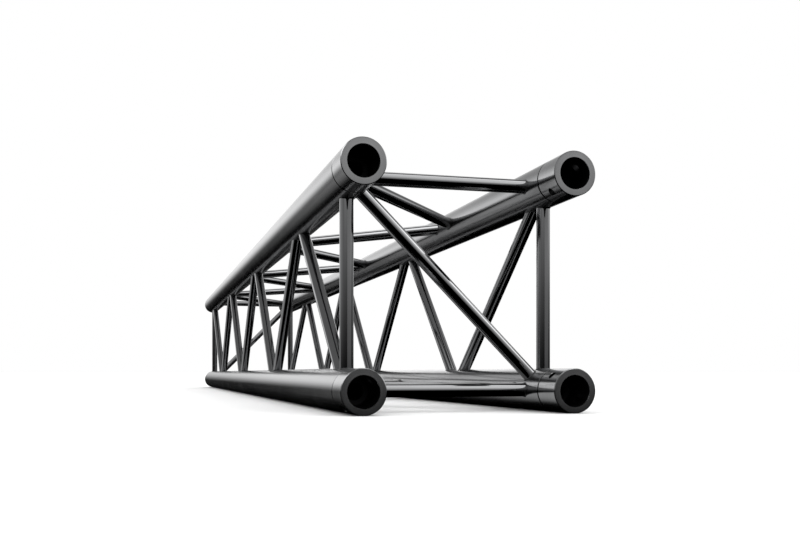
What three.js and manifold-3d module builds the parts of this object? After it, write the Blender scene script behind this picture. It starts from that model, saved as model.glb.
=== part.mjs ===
// Lighting truss section: a two metre, 290 mm square box truss welded up from aluminium tube.
//
// Four round chords run along Y. Each chord ends in two turned receivers, whose collars carry
// the conical socket and the diagonal pin hole that join one section to the next. Small round
// braces zigzag over the four faces, a frame of two posts and two ties squares up each end, and
// one diagonal crosses each end frame.
//
// Millimetres, +Z up. The origin is on the ground below the middle of the section, the length
// runs along Y, and the front end is at -Y.
import * as THREE from 'three';
import { mergeVertices } from 'three/addons/utils/BufferGeometryUtils.js';
import Module from 'manifold-3d';

// Driving dimensions
const LENGTH = 2000;
const BOX_SIDE = 290;
const CHORD_OUTER_RADIUS = 25;
const CHORD_WALL = 2;
const BRACE_OUTER_RADIUS = 8;
const BRACE_WALL = 2;

// The end frames stand this far in from each end, and the bay next to them is a little longer
// than the others, so that the zigzag closes on both end frames.
const END_FRAME_INSET = 80;
const END_BAY = 295;
const BAY = 250;
const BAY_COUNT = 5;

// Receivers: a collar as thick as the chord, and a tail inside it
const COLLAR_LENGTH = 43;
const TAIL_LENGTH = 35;
const MOUTH_RADIUS = 17.35;
const SOCKET_FLOOR_RADIUS = 15.2;
const DRAIN_RADIUS = 9;
const COLLAR_CHAMFER = 0.8;
const PIN_INSET = 21;
const PIN_HOLE_RADIUS = 5;

// Clearance left between pieces that touch on the real section
const GAP = 0.3;

// Sides of the faceted round pieces: multiples of four, so that they reach their full radius
// on the axes
const CHORD_SIDES = 24;
const BRACE_SIDES = 16;
const PIN_HOLE_SIDES = 8;

// Worked out from the above
const CHORD_OFFSET = BOX_SIDE / 2 - CHORD_OUTER_RADIUS;
const CHORD_SPACING = 2 * CHORD_OFFSET;
const CHORD_INNER_RADIUS = CHORD_OUTER_RADIUS - CHORD_WALL;
const END_FRAME_Y = LENGTH / 2 - END_FRAME_INSET;
const RECEIVER_LENGTH = COLLAR_LENGTH + TAIL_LENGTH;

// The four corners in order round the section, so that each face joins one to the next
const CORNERS = [
  { name: 'bottom_left', x: -CHORD_OFFSET, z: BOX_SIDE / 2 - CHORD_OFFSET },
  { name: 'top_left', x: -CHORD_OFFSET, z: BOX_SIDE / 2 + CHORD_OFFSET },
  { name: 'top_right', x: CHORD_OFFSET, z: BOX_SIDE / 2 + CHORD_OFFSET },
  { name: 'bottom_right', x: CHORD_OFFSET, z: BOX_SIDE / 2 - CHORD_OFFSET },
];
const FACES = [
  { name: 'left', square_piece: 'post' },
  { name: 'top', square_piece: 'tie' },
  { name: 'right', square_piece: 'post' },
  { name: 'bottom', square_piece: 'tie' },
];
const ENDS = [
  { name: 'front', side: -1 },
  { name: 'back', side: 1 },
];

const chordMaterial = new THREE.MeshStandardMaterial({ color: 0xafb0b1, roughness: 0.1, metalness: 1 });
const receiverMaterial = new THREE.MeshStandardMaterial({ color: 0xb3b3b5, roughness: 0.1, metalness: 1 });
const braceMaterial = new THREE.MeshStandardMaterial({ color: 0xabacad, roughness: 0.08, metalness: 1 });

const wasm = await Module();
wasm.setup();

// --- Solids: three.js geometry in, three.js geometry out, cuts in between ---------------------

function toSolid(geometry) {
  const bare = geometry.clone();
  bare.deleteAttribute('normal');
  bare.deleteAttribute('uv');
  const merged = mergeVertices(bare);
  const mesh = new wasm.Mesh({
    numProp: 3,
    vertProperties: new Float32Array(merged.attributes.position.array),
    triVerts: new Uint32Array(merged.index.array),
  });
  return new wasm.Manifold(mesh);
}

function toGeometry(solid) {
  const mesh = solid.getMesh();
  const geometry = new THREE.BufferGeometry();
  geometry.setAttribute('position', new THREE.BufferAttribute(mesh.vertProperties, 3));
  geometry.setIndex(new THREE.BufferAttribute(mesh.triVerts, 1));
  geometry.computeVertexNormals();
  return geometry;
}

// A ring turned about Y from a profile of [radius, y] corners, which run anticlockwise
function turned(profile, sides) {
  const points = profile.map(([radius, y]) => new THREE.Vector2(radius, y));
  points.push(points[0].clone());
  return new THREE.LatheGeometry(points, sides);
}

// --- Pieces -----------------------------------------------------------------------------------

// The chord tube stops short of both collars.
function chordGeometry() {
  const half = LENGTH / 2 - COLLAR_LENGTH - GAP;
  const profile = [
    [CHORD_OUTER_RADIUS, -half],
    [CHORD_OUTER_RADIUS, half],
    [CHORD_INNER_RADIUS, half],
    [CHORD_INNER_RADIUS, -half],
  ];
  return toGeometry(toSolid(turned(profile, CHORD_SIDES)));
}

// The receiver's mouth is at y = 0 and its tail reaches into +Y. Its pin hole runs along Z,
// through both walls.
function receiverGeometry() {
  const tailRadius = CHORD_INNER_RADIUS - GAP;
  const profile = [
    [CHORD_OUTER_RADIUS - COLLAR_CHAMFER, 0],
    [CHORD_OUTER_RADIUS, COLLAR_CHAMFER],
    [CHORD_OUTER_RADIUS, COLLAR_LENGTH],
    [tailRadius, COLLAR_LENGTH],
    [tailRadius, RECEIVER_LENGTH],
    [DRAIN_RADIUS, RECEIVER_LENGTH],
    [DRAIN_RADIUS, COLLAR_LENGTH],
    [SOCKET_FLOOR_RADIUS, COLLAR_LENGTH],
    [MOUTH_RADIUS, 0],
  ];
  const pinHole = new THREE.CylinderGeometry(
    PIN_HOLE_RADIUS, PIN_HOLE_RADIUS, 3 * CHORD_OUTER_RADIUS, PIN_HOLE_SIDES,
  );
  pinHole.rotateX(Math.PI / 2);
  pinHole.translate(0, PIN_INSET, 0);
  return toGeometry(toSolid(turned(profile, CHORD_SIDES)).subtract(toSolid(pinHole)));
}

// A brace in the X-Y plane, centred on the origin. Its axis climbs by rise along Y while it
// crosses span along X, and both its ends are coped to fit round a chord along Y.
function braceGeometry(span, rise) {
  const half = Math.hypot(span, rise) / 2;
  const profile = [
    [BRACE_OUTER_RADIUS, -half],
    [BRACE_OUTER_RADIUS, half],
    [BRACE_OUTER_RADIUS - BRACE_WALL, half],
    [BRACE_OUTER_RADIUS - BRACE_WALL, -half],
  ];
  const tube = turned(profile, BRACE_SIDES);
  tube.rotateZ(-Math.atan2(span, rise));
  let solid = toSolid(tube);
  for (const side of [-1, 1]) {
    const radius = CHORD_OUTER_RADIUS + GAP;
    const cope = new THREE.CylinderGeometry(radius, radius, rise + 4 * radius, CHORD_SIDES);
    cope.translate(side * span / 2, 0, 0);
    solid = solid.subtract(toSolid(cope));
  }
  return toGeometry(solid);
}

// --- Assembly ---------------------------------------------------------------------------------

const truss = new THREE.Group();

function place(name, geometry, material, x, y, z) {
  const mesh = new THREE.Mesh(geometry, material);
  mesh.name = name;
  mesh.position.set(x, y, z);
  truss.add(mesh);
  return mesh;
}

// A brace from one corner at y = startY to another at y = endY
function placeBrace(name, geometry, from, to, startY, endY) {
  const brace = place(
    name, geometry, braceMaterial, (from.x + to.x) / 2, (startY + endY) / 2, (from.z + to.z) / 2,
  );
  brace.rotation.y = Math.atan2(from.z - to.z, to.x - from.x);
}

function addChords() {
  const geometry = chordGeometry();
  for (const corner of CORNERS) {
    place(`chord_${corner.name}`, geometry, chordMaterial, corner.x, 0, corner.z);
  }
}

// Every pin hole lies on the diagonal through the middle of the section.
function addReceivers() {
  const geometry = receiverGeometry();
  for (const end of ENDS) {
    for (const corner of CORNERS) {
      const name = `receiver_${corner.name}_${end.name}`;
      const receiver = place(name, geometry, receiverMaterial, corner.x, end.side * LENGTH / 2, corner.z);
      receiver.rotation.order = 'ZYX';
      receiver.rotation.z = end.side < 0 ? 0 : Math.PI;
      const leansRight = (corner.x > 0) === (corner.z > BOX_SIDE / 2);
      receiver.rotation.y = (leansRight ? 1 : -1) * -end.side * Math.PI / 4;
    }
  }
}

// The zigzag's nodes along Y: the two end frames and the bays between them
function nodePlaces() {
  const places = [-END_FRAME_Y];
  for (let bay = 0; bay <= BAY_COUNT; bay += 1) {
    places.push(-END_FRAME_Y + END_BAY + bay * BAY);
  }
  places.push(END_FRAME_Y);
  return places;
}

function addZigzags() {
  const endBrace = braceGeometry(CHORD_SPACING, END_BAY);
  const brace = braceGeometry(CHORD_SPACING, BAY);
  const places = nodePlaces();
  const last = places.length - 1;
  FACES.forEach((face, index) => {
    const near = CORNERS[index];
    const far = CORNERS[(index + 1) % CORNERS.length];
    for (let step = 1; step <= last; step += 1) {
      const geometry = step === 1 || step === last ? endBrace : brace;
      const [from, to] = step % 2 === 1 ? [near, far] : [far, near];
      placeBrace(`brace_${face.name}_${step}`, geometry, from, to, places[step - 1], places[step]);
    }
  });
}

function addEndFrames() {
  const square = braceGeometry(CHORD_SPACING, 0);
  const cross = braceGeometry(CHORD_SPACING * Math.SQRT2, 0);
  for (const end of ENDS) {
    const y = end.side * END_FRAME_Y;
    FACES.forEach((face, index) => {
      const next = CORNERS[(index + 1) % CORNERS.length];
      placeBrace(`${face.square_piece}_${face.name}_${end.name}`, square, CORNERS[index], next, y, y);
    });
    // The diagonal leans the other way at the back.
    const [from, to] = end.side < 0 ? [CORNERS[1], CORNERS[3]] : [CORNERS[2], CORNERS[0]];
    placeBrace(`cross_brace_${end.name}`, cross, from, to, y, y);
  }
}

addChords();
addReceivers();
addZigzags();
addEndFrames();

export default truss;
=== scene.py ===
"""Looks of the lighting truss section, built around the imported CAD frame.

The CAD settles where everything is: the four chords, their receivers and the braces between
them. This script remakes each faceted node as a smooth piece in the same place, adds the
fillet welds that join them, and gives every surface its metal. Metres, +Z up, length along Y.
"""

import math

import bpy
import numpy as np
from mathutils import Matrix, Vector


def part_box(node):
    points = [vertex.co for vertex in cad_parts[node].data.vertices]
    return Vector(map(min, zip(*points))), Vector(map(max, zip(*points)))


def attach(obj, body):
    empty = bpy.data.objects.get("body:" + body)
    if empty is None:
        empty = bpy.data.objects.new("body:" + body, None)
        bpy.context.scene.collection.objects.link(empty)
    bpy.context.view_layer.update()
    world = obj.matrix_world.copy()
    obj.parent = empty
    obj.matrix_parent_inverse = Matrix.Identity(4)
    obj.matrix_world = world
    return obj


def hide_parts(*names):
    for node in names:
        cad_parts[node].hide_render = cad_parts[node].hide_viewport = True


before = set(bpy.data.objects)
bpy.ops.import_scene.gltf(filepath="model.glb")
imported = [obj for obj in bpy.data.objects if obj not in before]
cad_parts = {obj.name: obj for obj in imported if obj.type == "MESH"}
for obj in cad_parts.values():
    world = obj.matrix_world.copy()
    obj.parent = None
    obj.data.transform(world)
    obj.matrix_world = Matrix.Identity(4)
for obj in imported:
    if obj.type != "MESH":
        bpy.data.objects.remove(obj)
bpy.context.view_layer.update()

MM = 0.001

# --- Sizes the frame doesn't hold -------------------------------------------------------------

CHORD_WALL = 2.0 * MM
BRACE_WALL = 2.0 * MM
EDGE_BREAK = 0.35 * MM

# A receiver is a collar as wide as the chord, with a tapered socket in its mouth and a tail
# that plugs into the chord. A seam runs round it where the two meet.
COLLAR_CHAMFER = 0.8 * MM
SEAM_WIDTH = 1.9 * MM
SEAM_DEPTH = 1.2 * MM
TAIL_GAP = 0.3 * MM
TAIL_CHAMFER = 1.5 * MM
MOUTH_RADIUS = 17.29 * MM
MOUTH_CHAMFER_WIDTH = 0.56 * MM
MOUTH_CHAMFER_DEPTH = 0.9 * MM
SOCKET_FLOOR_RADIUS = 15.2 * MM
DRAIN_RADIUS = 9.0 * MM
DRAIN_CHAMFER = 1.0 * MM

# The pin hole goes right through the collar. The band is the part of the collar's mesh, to
# either side of the hole's axis, that it is drilled in.
PIN_INSET = 21.0 * MM
PIN_BAND = 8.0 * MM
PIN_HOLE_RADIUS = 5.0 * MM
PIN_HOLE_CHAMFER = 0.3 * MM
DRILL_OVERRUN = 3.0 * MM

# A weld's toes are let into the metal, and its underside lies deeper still. Its width wanders
# on the way round by waves of (waves in a turn, share of the leg, how the seed shifts them).
WELD_LEG = 1.0 * MM
WELD_CROWN = 0.2 * MM
WELD_SINK = 0.08 * MM
WELD_ROOT_DEPTH = 0.5 * MM
WELD_WAVES = [(3, 0.06, 1.0), (7, 0.04, 2.3)]
WELD_SEED_STEP = 1.7

# The ripples across a weld. The lag is how far, in radians, the crown trails the toes.
RIPPLE_DEPTH = 0.1 * MM
RIPPLE_PITCH = 1.1 * MM
RIPPLE_LAG = 1.6
RIPPLE_SHARPNESS = 0.7

# How fine the meshes are, and the angle in degrees above which an edge is a sharp one.
CHORD_SIDES = 96
CHORD_STRETCHES = 24
BRACE_SIDES = 48
HOLE_SIDES = 48
WELD_PROFILE_POINTS = 7
RIPPLE_STEPS = 5
SHARP_ANGLE = 32
WELD_SHARP_ANGLE = 60

# Lengths that differ by less are taken as equal.
SLACK = 0.01 * MM

# --- Places read from the frame ---------------------------------------------------------------

CORNERS = ["bottom_left", "top_left", "top_right", "bottom_right"]
FACES = ["left", "top", "right", "bottom"]
SQUARE_PIECE = {"left": "post", "top": "tie", "right": "post", "bottom": "tie"}
CROSS_BRACES = {"front": ("top_left", "bottom_right"), "back": ("top_right", "bottom_left")}
ENDS = {"front": -1, "back": 1}
ZIGZAG_STEPS = 7


def middle(node):
    """The middle of a node's box."""
    low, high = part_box(node)
    return (low + high) / 2


def half_size(node):
    """Half the size of a node's box along each axis."""
    low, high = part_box(node)
    return (high - low) / 2


CHORD_AT = {corner: middle(f"chord_{corner}") for corner in CORNERS}
CHORD_RADIUS = half_size("chord_top_left").x
CHORD_HALF_LENGTH = half_size("chord_top_left").y
BRACE_RADIUS = half_size("post_left_front").x
END_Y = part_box("receiver_top_left_back")[1].y
TAIL_END_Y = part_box("receiver_top_left_back")[0].y
RECEIVER_LENGTH = END_Y - TAIL_END_Y
COLLAR_LENGTH = END_Y - CHORD_HALF_LENGTH - TAIL_GAP
BOX_CENTRE_Z = (CHORD_AT["top_left"].z + CHORD_AT["bottom_left"].z) / 2


def square_brace(node, first, second):
    """The row of a brace that lies square across the truss."""
    y = middle(node).y
    return node, first, second, y, y


def brace_list():
    """A row for every brace: its node, the corners it starts and ends at, and the y of both.
    A zigzag brace starts where the last one ends, and its middle gives its other end."""
    braces = []
    for index, face in enumerate(FACES):
        near, far = CORNERS[index], CORNERS[(index + 1) % len(CORNERS)]
        square_piece = f"{SQUARE_PIECE[face]}_{face}"
        start = middle(f"{square_piece}_front").y
        for step in range(1, ZIGZAG_STEPS + 1):
            node = f"brace_{face}_{step}"
            end = 2 * middle(node).y - start
            pair = (near, far) if step % 2 else (far, near)
            braces.append((node, *pair, start, end))
            start = end
        for end_name in ENDS:
            braces.append(square_brace(f"{square_piece}_{end_name}", near, far))
    for end_name, pair in CROSS_BRACES.items():
        braces.append(square_brace(f"cross_brace_{end_name}", *pair))
    return braces


BRACES = brace_list()

# --- Mesh building ----------------------------------------------------------------------------


def new_mesh(name, points, faces):
    mesh = bpy.data.meshes.new(name)
    mesh.from_pydata([tuple(p) for p in points], [], faces)
    return mesh


def add_object(name, data):
    thing = bpy.data.objects.new(name, data)
    bpy.context.scene.collection.objects.link(thing)
    return thing


def make_piece(name, points, faces, place, sharp_angle=SHARP_ANGLE, face_materials=None):
    """A mesh piece. points are in the piece's own frame, with its axis along Z, which the
    attribute own_place keeps for the materials; place carries them into the CAD's frame."""
    mesh = new_mesh(name, points, faces)
    mesh.validate()
    own = mesh.attributes.new("own_place", "FLOAT_VECTOR", "POINT")
    flat = np.empty(len(mesh.vertices) * 3, np.float32)
    mesh.vertices.foreach_get("co", flat)
    own.data.foreach_set("vector", flat)
    if face_materials is not None:
        mesh.polygons.foreach_set("material_index", face_materials)
    mesh.polygons.foreach_set("use_smooth", [True] * len(mesh.polygons))
    mesh.set_sharp_from_angle(angle=math.radians(sharp_angle))
    mesh.transform(place)
    mesh.update()
    return add_object(name, mesh)


def full_turn(steps):
    """Even angles round a circle, without the last, which is the first again."""
    return np.arange(steps) * (2 * math.pi / steps)


def ring_faces(rings, sides, closed_profile=True):
    """Quads between rings of points laid out ring after ring."""
    faces = []
    pairs = rings if closed_profile else rings - 1
    for ring in range(pairs):
        this, other = ring * sides, (ring + 1) % rings * sides
        for side in range(sides):
            turn = (side + 1) % sides
            faces.append((this + side, this + turn, other + turn, other + side))
    return faces


def circle_points(radius, height, sides):
    """A ring of points about Z."""
    angles = full_turn(sides)
    return np.stack([radius * np.cos(angles), radius * np.sin(angles), np.full(sides, height)], 1)


def turned(profile, sides):
    """Points and faces of a closed (radius, height) profile turned about Z. The profile runs
    so that its outside climbs."""
    points = np.concatenate([circle_points(radius, height, sides) for radius, height in profile])
    return points, ring_faces(len(profile), sides)


def along_y(corner, y, side=1):
    """The frame whose Z runs along the chord at corner, towards +Y or -Y, from y."""
    turn = Matrix.Rotation(-side * math.pi / 2, 4, "X")
    return Matrix.Translation((CHORD_AT[corner].x, y, CHORD_AT[corner].z)) @ turn


# --- Chord tubes ------------------------------------------------------------------------------


def make_chord(corner):
    """A tube with its outer edges broken, in short stretches."""
    half = CHORD_HALF_LENGTH
    inner = CHORD_RADIUS - CHORD_WALL
    heights = np.linspace(-half + EDGE_BREAK, half - EDGE_BREAK, CHORD_STRETCHES + 1)
    outside = [(CHORD_RADIUS, h) for h in heights]
    profile = [(CHORD_RADIUS - EDGE_BREAK, -half)] + outside
    profile += [(CHORD_RADIUS - EDGE_BREAK, half), (inner, half), (inner, -half)]
    points, faces = turned(profile, CHORD_SIDES)
    return make_piece(f"tube_{corner}", points, faces, along_y(corner, 0))


# --- Receivers --------------------------------------------------------------------------------


def receiver_profile():
    """(radius, height) round the receiver's section: height is the depth from the mouth, and the
    list runs from the mouth up the outside and back down the socket."""
    tail_radius = CHORD_RADIUS - CHORD_WALL - TAIL_GAP
    outside = [
        (CHORD_RADIUS - COLLAR_CHAMFER, 0),
        (CHORD_RADIUS, COLLAR_CHAMFER),
        (CHORD_RADIUS, PIN_INSET - PIN_BAND),
        (CHORD_RADIUS, PIN_INSET + PIN_BAND),
        (CHORD_RADIUS, COLLAR_LENGTH - SEAM_WIDTH - EDGE_BREAK),
        (CHORD_RADIUS - EDGE_BREAK, COLLAR_LENGTH - SEAM_WIDTH),
        (CHORD_RADIUS - SEAM_DEPTH, COLLAR_LENGTH - SEAM_WIDTH),
        (CHORD_RADIUS - SEAM_DEPTH, COLLAR_LENGTH),
        (tail_radius, COLLAR_LENGTH),
        (tail_radius, RECEIVER_LENGTH - TAIL_CHAMFER),
        (tail_radius - TAIL_CHAMFER, RECEIVER_LENGTH),
    ]
    inside = [
        (DRAIN_RADIUS, RECEIVER_LENGTH),
        (DRAIN_RADIUS, COLLAR_LENGTH + DRAIN_CHAMFER),
        (DRAIN_RADIUS + DRAIN_CHAMFER, COLLAR_LENGTH),
        (SOCKET_FLOOR_RADIUS, COLLAR_LENGTH),
        (MOUTH_RADIUS, MOUTH_CHAMFER_DEPTH),
        (MOUTH_RADIUS + MOUTH_CHAMFER_WIDTH, 0),
    ]
    return outside + inside


def make_pin_drill():
    """The pin drill's solid, along X: a cylinder that flares where it meets the collar's
    surface, so that the chamfer is even all round the hole."""
    angles = full_turn(HOLE_SIDES)
    across, along = np.cos(angles), np.sin(angles)

    def ring(radius, depth):
        """A ring whose points lie depth under the collar's surface."""
        rise = np.sqrt(CHORD_RADIUS**2 - (radius * across) ** 2) - depth
        return np.stack([rise, radius * across, PIN_INSET + radius * along], 1)

    flare = PIN_HOLE_RADIUS + 2 * PIN_HOLE_CHAMFER
    tip = ring(flare, 0)
    tip[:, 0] = CHORD_RADIUS + DRILL_OVERRUN
    half = [ring(PIN_HOLE_RADIUS, PIN_HOLE_CHAMFER), ring(flare, -PIN_HOLE_CHAMFER), tip]
    mirror = np.array([-1, 1, 1])
    rings = [points * mirror for points in reversed(half)] + half
    points = np.concatenate(rings)
    faces = ring_faces(len(rings), HOLE_SIDES, closed_profile=False)
    faces.append(tuple(reversed(range(HOLE_SIDES))))
    faces.append(tuple(range(len(points) - HOLE_SIDES, len(points))))
    return add_object("pin_drill", new_mesh("pin_drill", points, faces))


def drilled(points, faces, drill_turn):
    """Points and faces of a blank after the pin drill, turned about Z, has gone through it."""
    blank = add_object("blank", new_mesh("blank", points, faces))
    drill = make_pin_drill()
    drill.matrix_world = drill_turn
    cut = blank.modifiers.new("drill", "BOOLEAN")
    cut.operation = "DIFFERENCE"
    cut.solver = "EXACT"
    cut.object = drill
    bpy.context.view_layer.update()
    graph = bpy.context.evaluated_depsgraph_get()
    result = bpy.data.meshes.new_from_object(blank.evaluated_get(graph), depsgraph=graph)
    for spare in (blank, drill):
        bpy.data.objects.remove(spare)
    return [v.co.copy() for v in result.vertices], [tuple(p.vertices) for p in result.polygons]


def make_receiver(corner, end_name):
    """Turned collar, tapered socket and tail. The pin hole points at the middle of the box."""
    side = ENDS[end_name]
    place = along_y(corner, side * END_Y, -side)
    inwards = Vector((-CHORD_AT[corner].x, 0, BOX_CENTRE_Z - CHORD_AT[corner].z))
    local = place.to_3x3().inverted() @ inwards
    drill_turn = Matrix.Rotation(math.atan2(local.y, local.x), 4, "Z")
    points, faces = drilled(*turned(receiver_profile(), CHORD_SIDES), drill_turn)
    undo = drill_turn.inverted()
    # The socket, the pin hole and the seam get painted shade: a near-black material in these
    # recesses.
    painted_shade_faces = [is_painted_shade([undo @ points[v] for v in face]) for face in faces]
    return make_piece(f"socket_{corner}_{end_name}", points, faces, place, face_materials=painted_shade_faces)


def is_painted_shade(corners):
    """1 for a face painted near black as painted shade: the socket's inside, the pin hole's wall,
    or from the seam on; 0 for one of the bright outside. The pin hole's axis is X."""
    lowest = min(p.z for p in corners)
    widest = max(math.hypot(p.x, p.y) for p in corners)
    off_pin = max(math.hypot(p.y, p.z - PIN_INSET) for p in corners)
    in_socket = lowest > MOUTH_CHAMFER_DEPTH - SLACK and widest < MOUTH_RADIUS + SLACK
    in_hole = off_pin < PIN_HOLE_RADIUS + SLACK
    in_seam = lowest > COLLAR_LENGTH - SEAM_WIDTH - SLACK
    return int(in_socket or in_hole or in_seam)


# --- Braces -----------------------------------------------------------------------------------


class BraceAxis:
    """Where a brace lies, and how its surface meets the two chords."""

    def __init__(self, first, second, start_y, end_y):
        a, b = CHORD_AT[first].copy(), CHORD_AT[second].copy()
        a.y, b.y = start_y, end_y
        self.start, self.end = a, b
        self.length = (b - a).length
        self.along = (b - a).normalized()
        across = Vector((b.x - a.x, 0, b.z - a.z)).normalized()
        self.side = across.cross(Vector((0, 1, 0))).normalized()
        self.up = self.along.cross(self.side)
        self.slope = self.along.dot(across)
        self.rise = self.along.y

    def place(self):
        """The frame with Z along the brace and its origin at the brace's middle."""
        turn = Matrix((self.side, self.up, self.along)).transposed().to_4x4()
        return Matrix.Translation((self.start + self.end) / 2) @ turn

    def end_ring(self, radius, angles):
        """Points round the brace at radius from its axis, in its own frame, where they meet
        the surface of the chord at its end."""
        aside, up = radius * np.cos(angles), radius * np.sin(angles)
        # The chord's axis lies in the brace's own plane, where aside is 0.
        in_plane = np.sqrt(CHORD_RADIUS**2 - aside**2)
        back = (in_plane + up * self.rise) / self.slope
        return np.stack([aside, up, self.length / 2 - back], 1)

    def start_ring(self, radius, angles):
        """The same at the brace's start, which is its end turned half round about X."""
        return self.end_ring(radius, -angles) * np.array([1, -1, -1])


def make_brace(node, first, second, start_y, end_y):
    """A tube whose ends are cut to the round of the chords they meet."""
    axis = BraceAxis(first, second, start_y, end_y)
    angles = full_turn(BRACE_SIDES)
    outer, inner = BRACE_RADIUS, BRACE_RADIUS - BRACE_WALL
    rings = [
        axis.start_ring(outer, angles),
        axis.end_ring(outer, angles),
        axis.end_ring(inner, angles),
        axis.start_ring(inner, angles),
    ]
    faces = ring_faces(len(rings), BRACE_SIDES)
    return make_piece(f"strut_{node}", np.concatenate(rings), faces, axis.place())


# --- Welds ------------------------------------------------------------------------------------


def unit(rows):
    """Each row, made one long."""
    return rows / np.linalg.norm(rows, axis=1, keepdims=True)


def facing(rows, other):
    """Each row, turned round where it points away from the other's row."""
    return rows * np.sign(np.sum(rows * other, axis=1, keepdims=True))


def nearest_on(rows, origin, direction):
    """The point of a line nearest to each point."""
    return origin + ((rows - origin) @ direction)[:, None] * direction


def away_from(rows, origin, direction):
    """The way straight out from a line to each point."""
    return unit(rows - nearest_on(rows, origin, direction))


def push_to(rows, origin, direction, radius):
    """Points moved straight out from a line until they are radius away from it."""
    return nearest_on(rows, origin, direction) + away_from(rows, origin, direction) * radius


def weld_bead(axis, at_start, seed):
    """Points and faces of the fillet bead round one end of a brace. The bead's toes follow the
    chord and the brace, and its crown carries a row of curved ripples."""
    circumference = 2 * math.pi * BRACE_RADIUS / axis.slope
    ripples = round(circumference / RIPPLE_PITCH)
    angles = full_turn(ripples * RIPPLE_STEPS)
    ring = axis.start_ring if at_start else axis.end_ring
    place = np.array(axis.place())
    root = ring(BRACE_RADIUS, angles) @ place[:3, :3].T + place[:3, 3]
    # The chord's and the brace's middle lines, each a place on it and its direction.
    centre = np.array(axis.start if at_start else axis.end)
    chord = (centre, np.array([0.0, 1.0, 0.0]))
    brace = (centre, np.array(axis.along))
    off_chord = away_from(root, *chord)
    off_brace = away_from(root, *brace)
    tangent = unit(np.roll(root, -1, axis=0) - np.roll(root, 1, axis=0))
    on_chord = facing(np.cross(tangent, off_chord), off_brace)
    on_brace = facing(np.cross(tangent, off_brace), off_chord)
    waves = [share * np.sin(count * angles + shift * seed) for count, share, shift in WELD_WAVES]
    leg = (WELD_LEG * (1 + sum(waves)))[:, None]
    chord_toe = push_to(root + leg * on_chord, *chord, CHORD_RADIUS - WELD_SINK)
    brace_toe = push_to(root + leg * on_brace, *brace, BRACE_RADIUS - WELD_SINK)
    crown_way = unit(off_chord + off_brace)
    rows = []
    for share in np.linspace(0, 1, WELD_PROFILE_POINTS):
        hump = 4 * share * (1 - share)
        phase = ripples * angles + RIPPLE_LAG * hump + seed
        ripple = 1 - np.abs(np.sin(phase / 2)) ** RIPPLE_SHARPNESS
        height = WELD_CROWN * hump - RIPPLE_DEPTH * ripple * math.sqrt(hump)
        rows.append(chord_toe * (1 - share) + brace_toe * share + crown_way * height[:, None])
    rows.append(root - crown_way * WELD_ROOT_DEPTH)
    return np.concatenate(rows), ring_faces(len(rows), len(angles))


def make_welds(corner):
    """All the beads on one chord, as one piece."""
    points, faces, count = [], [], 0
    for index, (_, first, second, start_y, end_y) in enumerate(BRACES):
        axis = BraceAxis(first, second, start_y, end_y)
        for at_start, here in ((True, first), (False, second)):
            if here != corner:
                continue
            bead, quads = weld_bead(axis, at_start, seed=WELD_SEED_STEP * index + at_start)
            points.append(bead)
            faces += [tuple(v + count for v in quad) for quad in quads]
            count += len(bead)
    points = np.concatenate(points)
    return make_piece(f"welds_{corner}", points, faces, Matrix.Identity(4), WELD_SHARP_ANGLE)


# --- Materials --------------------------------------------------------------------------------

CHORD_COLOUR = (0.43, 0.433, 0.44)
RECEIVER_COLOUR = (0.49, 0.493, 0.5)
BRACE_COLOUR = (0.41, 0.413, 0.42)
# Painted shade: the socket's inside, the pin hole's wall and the seam groove are painted near
# black.
RECESS_PAINTED_SHADE_COLOUR = (0.03, 0.03, 0.031)
# Partly the weld's own duller grey, partly painted shade: the bead is painted darker to stand for
# the shaded crease where a brace meets a chord.
WELD_AND_CREASE_SHADE_COLOUR = (0.12, 0.121, 0.123)
BLACK = (0, 0, 0, 1)
WHITE = (1, 1, 1, 1)

# Where a Mix node keeps a colour mix's factor, its two colours and its result.
MIX_INPUTS = (0, 6, 7)
MIX_RESULT = 2

# A piece seen mirrored in another is painted this much darker there, a painted shade on its
# reflection, and is at least this rough.
MIRRORED_PAINTED_DARKENING = 0.25
MIRRORED_BLUR = 0.5

# Metal is streaked and clouded by noise that seldom leaves NOISE_RANGE. A drawn tube's streaks
# are long: STREAKS_ALONG is their scale along the tube. STREAK_SHARE is their part of the mix.
NOISE_RANGE = (0.3, 0.7)
NOISE_DETAIL = 3.0
STREAKS_ALONG = 6.0
STREAK_ROUGHNESS = 0.6
STREAK_SHARE = 0.6
CLOUD_SCALE = 28.0
CLOUD_ROUGHNESS = 0.5
BUMP_HEIGHT = 0.01 * MM
BUMP_STRENGTH = 0.2


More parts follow.
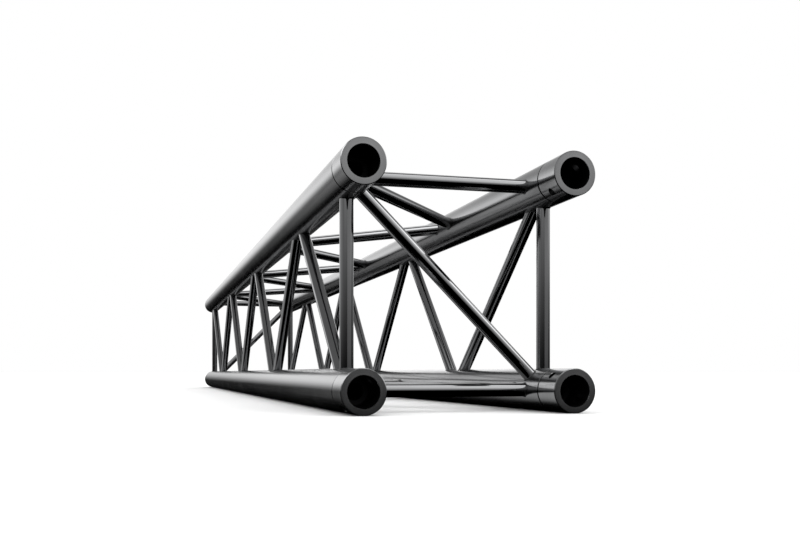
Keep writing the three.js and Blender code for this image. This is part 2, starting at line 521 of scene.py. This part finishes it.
class Tree:
    """A short hand for building a node tree."""

    def __init__(self, tree):
        self.tree = tree

    def add(self, kind, **settings):
        node = self.tree.nodes.new(kind)
        for key, value in settings.items():
            setattr(node, key, value)
        return node

    def link(self, source, target):
        self.tree.links.new(source, target)

    def feed(self, sockets, values):
        """Each value is a number or a colour to set, or an output to link."""
        for socket, value in zip(sockets, values):
            if isinstance(value, (int, float, tuple)):
                socket.default_value = value
            else:
                self.link(value, socket)

    def maths(self, operation, first, second=0.0):
        node = self.add("ShaderNodeMath", operation=operation)
        self.feed(node.inputs, (first, second))
        return node.outputs[0]

    def vector(self, x, y, z):
        node = self.add("ShaderNodeCombineXYZ")
        self.feed(node.inputs, (x, y, z))
        return node.outputs[0]

    def parts(self, vector):
        """The x, y and z of a vector."""
        node = self.add("ShaderNodeSeparateXYZ")
        self.link(vector, node.inputs[0])
        return node.outputs

    def blend(self, share, first, second):
        """The colour that lies share of the way from first to second."""
        node = self.add("ShaderNodeMix", data_type="RGBA")
        self.feed([node.inputs[index] for index in MIX_INPUTS], (share, first, second))
        return node.outputs[MIX_RESULT]

    def spread(self, value, low, high, to_low, to_high, way="LINEAR"):
        """value carried from the range low to high into the range to_low to to_high."""
        node = self.add("ShaderNodeMapRange", interpolation_type=way)
        self.feed(node.inputs, (value, low, high, to_low, to_high))
        return node.outputs[0]

    def band(self, value, low, high, edge):
        """1 between low and high, falling smoothly to 0 over edge on either side."""
        up = self.spread(value, low - edge, low + edge, 0.0, 1.0, "SMOOTHSTEP")
        down = self.spread(value, high - edge, high + edge, 1.0, 0.0, "SMOOTHSTEP")
        return self.maths("MULTIPLY", up, down)

    def noise(self, vector, scale, roughness):
        node = self.add("ShaderNodeTexNoise")
        sockets = [node.inputs[key] for key in ("Vector", "Scale", "Detail", "Roughness")]
        self.feed(sockets, (vector, scale, NOISE_DETAIL, roughness))
        return node.outputs["Fac"]


class Surface(Tree):
    """A new material's tree, with its shader."""

    def __init__(self, name):
        self.material = bpy.data.materials.new(name)
        self.material.use_nodes = True
        super().__init__(self.material.node_tree)
        self.shader = self.tree.nodes["Principled BSDF"]

    def own_place(self):
        """The piece's own x, y and z, with Z along its axis, and the distance from that axis."""
        place = self.add("ShaderNodeAttribute", attribute_name="own_place")
        x, y, z = self.parts(place.outputs["Vector"])
        squares = self.maths("ADD", self.maths("MULTIPLY", x, x), self.maths("MULTIPLY", y, y))
        return x, y, z, self.maths("SQRT", squares)

    def mirrored(self, amount):
        """amount where another surface mirrors this one, 0 where it is seen itself."""
        path = self.add("ShaderNodeLightPath")
        return self.maths("MULTIPLY", path.outputs["Is Glossy Ray"], amount)

    def shade(self, colour, amount, contrast):
        """A base colour that runs from darker to lighter than colour by contrast, as amount
        runs from 0 to 1, and that is painted darker where another piece mirrors it: a painted
        shade on the reflection."""
        darker = (*[c * (1 - contrast) for c in colour], 1)
        lighter = (*[c * (1 + contrast) for c in colour], 1)
        wandering = self.blend(amount, darker, lighter)
        # Painted shade on reflections: for glossy rays the base colour is mixed towards black.
        painted_dark_reflection = self.blend(self.mirrored(MIRRORED_PAINTED_DARKENING), wandering, BLACK)
        self.link(painted_dark_reflection, self.shader.inputs["Base Color"])

    def gloss(self, amount, low, high):
        """Roughness from low to high by amount."""
        rough = self.spread(amount, *NOISE_RANGE, low, high)
        rough = self.maths("MAXIMUM", rough, self.mirrored(MIRRORED_BLUR))
        self.link(rough, self.shader.inputs["Roughness"])

    def bump(self, height, distance, strength):
        node = self.add("ShaderNodeBump")
        node.inputs["Strength"].default_value = strength
        node.inputs["Distance"].default_value = distance
        self.link(height, node.inputs["Height"])
        self.link(node.outputs[0], self.shader.inputs["Normal"])


def streaked_metal(name, colour, rough, fine, contrast, turned_finish=False):
    """Bare metal with the fine lines of its making: along a drawn tube, or round a turned one.
    rough is the range of its roughness and fine the scale of the lines."""
    n = Surface(name)
    x, y, z, radius = n.own_place()
    if turned_finish:
        lines = n.vector(n.maths("MULTIPLY", n.maths("ADD", radius, z), fine), 0.0, 0.0)
    else:
        across = [n.maths("MULTIPLY", way, fine) for way in (x, y)]
        lines = n.vector(*across, n.maths("MULTIPLY", z, STREAKS_ALONG))
    streaks = n.noise(lines, 1.0, STREAK_ROUGHNESS)
    clouds = n.noise(n.vector(x, y, z), CLOUD_SCALE, CLOUD_ROUGHNESS)
    streak_part = n.maths("MULTIPLY", streaks, STREAK_SHARE)
    cloud_part = n.maths("MULTIPLY", clouds, 1 - STREAK_SHARE)
    both = n.maths("ADD", streak_part, cloud_part)
    n.shade(colour, both, contrast)
    n.gloss(both, *rough)
    n.bump(streaks, BUMP_HEIGHT, BUMP_STRENGTH)
    n.shader.inputs["Metallic"].default_value = 1.0
    return n.material


chord_metal = streaked_metal("chord_metal", CHORD_COLOUR, (0.14, 0.2), fine=700.0, contrast=0.16)
brace_metal = streaked_metal("brace_metal", BRACE_COLOUR, (0.06, 0.1), fine=900.0, contrast=0.16)
# The weld's dark colour is partly its own dull grey and partly painted crease shade.
weld_and_crease_shade_metal = streaked_metal("weld_and_crease_shade_metal", WELD_AND_CREASE_SHADE_COLOUR, (0.3, 0.4), fine=1500.0, contrast=0.16)
receiver_metal = streaked_metal(
    "receiver_metal", RECEIVER_COLOUR, (0.12, 0.2), fine=450.0, contrast=0.45, turned_finish=True
)
# Painted shade for the recesses of the receivers: the same metal, painted near black.
recess_painted_shade_metal = streaked_metal(
    "recess_painted_shade_metal", RECESS_PAINTED_SHADE_COLOUR, (0.4, 0.5), fine=2200.0, contrast=0.2, turned_finish=True
)

# --- Assembly ---------------------------------------------------------------------------------


def fit(piece, slot, nodes, *materials):
    """Gives a piece its materials and its body, and hides the CAD nodes it stands in for.
    slot is not used.
    """
    for material in materials:
        piece.data.materials.append(material)
    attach(piece, "root")
    if nodes:
        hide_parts(*nodes)


for corner in CORNERS:
    fit(make_chord(corner), "chord_tube", [f"chord_{corner}"], chord_metal)
    fit(make_welds(corner), "weld", [], weld_and_crease_shade_metal)
    for end_name in ENDS:
        receiver = make_receiver(corner, end_name)
        fit(receiver, "receiver", [f"receiver_{corner}_{end_name}"], receiver_metal, recess_painted_shade_metal)
for brace in BRACES:
    fit(make_brace(*brace), "brace_tube", [brace[0]], brace_metal)


# --- Floor, light and camera ------------------------------------------------------------------

FLOOR_REACH = 100.0
FLOOR_COLOUR = (0.9, 0.9, 0.9, 1)
FLOOR_ROUGHNESS = 0.9

# The dome is a lamp DOME_SPREAD degrees wide.
DOME_ENERGY = 2.3
DOME_SPREAD = 150

# Directions are in degrees: the turn from +Y towards +X, and the climb above the horizon. The
# room brightens over ROOM_CLIMB. The horizon glows by HORIZON_LEVEL towards +Y, within a band of
# climbs (from, to, softness of the edges), and fades to the square of HORIZON_FADE towards -Y.
ROOM_LEVEL = 0.18
ROOM_CLIMB = (-2, 18)
HORIZON_LEVEL = 0.66
HORIZON_BAND = (5, 12, 7)
HORIZON_FADE = 0.28
STUDIO_CARDS = [
    # level, (turn from, turn to), (climb from, climb to), softness of the edges
    # Beyond the far end: two low cards, and a pale wall with a bright top.
    (0.45, (-32, 26), (6, 21), 7),
    (0.35, (4, 30), (4, 18), 10),
    (0.2, (-28, 32), (10, 62), 12),
    (1.1, (-26, 30), (42, 62), 10),
    # A narrow soft box on the left.
    (1.9, (-106, -78), (24, 60), 10),
    # Soft boxes on the right, the last of them fading round towards the camera.
    (0.9, (58, 120), (12, 38), 8),
    (1.4, (88, 124), (26, 80), 10),
    (0.6, (116, 160), (26, 80), 14),
    # A pale wall behind the camera, in two halves that meet at a turn of 180. Each half runs
    # on past it, so that neither fades there.
    (0.45, (130, 200), (14, 80), 12),
    (0.4, (-200, -130), (14, 80), 12),
    # A faint strip along the horizon behind the camera.
    (0.14, (110, 200), (-0.6, 9), 2),
    # Pale ground beyond the far end, on the left.
    (0.42, (-58, -16), (-46, 1), 9),
]

# The camera's place is measured from the truss: across from its middle, out from its front end
# and down from the middle of its height. Its turn is in degrees from +Y towards +X.
CAMERA_ACROSS = -0.3434
CAMERA_OUT = 0.8867
CAMERA_DOWN = 0.1002
CAMERA_TURN = 14.02
CAMERA_REACH = 500.0
SENSOR_WIDTH = 36.0
LENS = 39.7305
SHIFT_X = 0.0475
SHIFT_Y = 0.12375


def make_floor():
    """White and matt, and left out of what the metal mirrors."""
    square = [(-1, -1), (1, -1), (1, 1), (-1, 1)]
    corners = [(x * FLOOR_REACH, y * FLOOR_REACH, 0) for x, y in square]
    floor = add_object("floor", new_mesh("floor", corners, [(0, 1, 2, 3)]))
    n = Surface("floor_white")
    n.shader.inputs["Base Color"].default_value = FLOOR_COLOUR
    n.shader.inputs["Roughness"].default_value = FLOOR_ROUGHNESS
    n.shader.inputs["Specular IOR Level"].default_value = 0.0
    floor.data.materials.append(n.material)
    floor.visible_glossy = False


def make_world():
    """What the metal mirrors: a dim room that glows along the horizon, hung with cards and soft
    boxes. The camera itself sees plain white."""
    world = bpy.data.worlds.new("studio")
    bpy.context.scene.world = world
    world.use_nodes = True
    world.node_tree.nodes.clear()
    n = Tree(world.node_tree)
    x, y, z = n.parts(n.add("ShaderNodeTexCoord").outputs["Generated"])
    turn = n.maths("DEGREES", n.maths("ARCTAN2", x, y))
    climb = n.maths("DEGREES", n.maths("ARCSINE", z))
    total = n.spread(climb, *ROOM_CLIMB, 0.0, ROOM_LEVEL, "SMOOTHSTEP")
    glow = n.maths("POWER", n.spread(y, -1, 1, HORIZON_FADE, 1.0), 2.0)
    glow = n.maths("MULTIPLY", glow, n.band(climb, *HORIZON_BAND))
    total = n.maths("ADD", total, n.maths("MULTIPLY", glow, HORIZON_LEVEL))
    for level, turns, climbs, edge in STUDIO_CARDS:
        card = n.maths("MULTIPLY", n.band(turn, *turns, edge), n.band(climb, *climbs, edge))
        total = n.maths("ADD", total, n.maths("MULTIPLY", card, level))
    studio = n.add("ShaderNodeBackground")
    n.link(n.vector(total, total, total), studio.inputs["Color"])
    white = n.add("ShaderNodeBackground")
    white.inputs["Color"].default_value = WHITE
    mix = n.add("ShaderNodeMixShader")
    seen = n.add("ShaderNodeLightPath").outputs["Is Camera Ray"]
    n.feed(mix.inputs, (seen, studio.outputs[0], white.outputs[0]))
    n.link(mix.outputs[0], n.add("ShaderNodeOutputWorld").inputs["Surface"])


def make_dome():
    """Even light from overhead for the floor, which the metal doesn't mirror."""
    lamp = bpy.data.lights.new("dome", "SUN")
    lamp.angle = math.radians(DOME_SPREAD)
    lamp.energy = DOME_ENERGY
    add_object("dome", lamp).visible_glossy = False


def make_camera():
    """The view: low, level, ahead of the front end and left of it."""
    camera = bpy.data.cameras.new("camera")
    camera.sensor_width = SENSOR_WIDTH
    camera.lens = LENS
    camera.shift_x = SHIFT_X
    camera.shift_y = SHIFT_Y
    camera.clip_end = CAMERA_REACH
    thing = add_object("camera", camera)
    thing.location = (CAMERA_ACROSS, -END_Y - CAMERA_OUT, BOX_CENTRE_Z - CAMERA_DOWN)
    thing.rotation_euler = (math.pi / 2, 0, -math.radians(CAMERA_TURN))
    bpy.context.scene.camera = thing


make_floor()
make_world()
make_dome()
make_camera()
bpy.context.scene.view_settings.view_transform = "Standard"
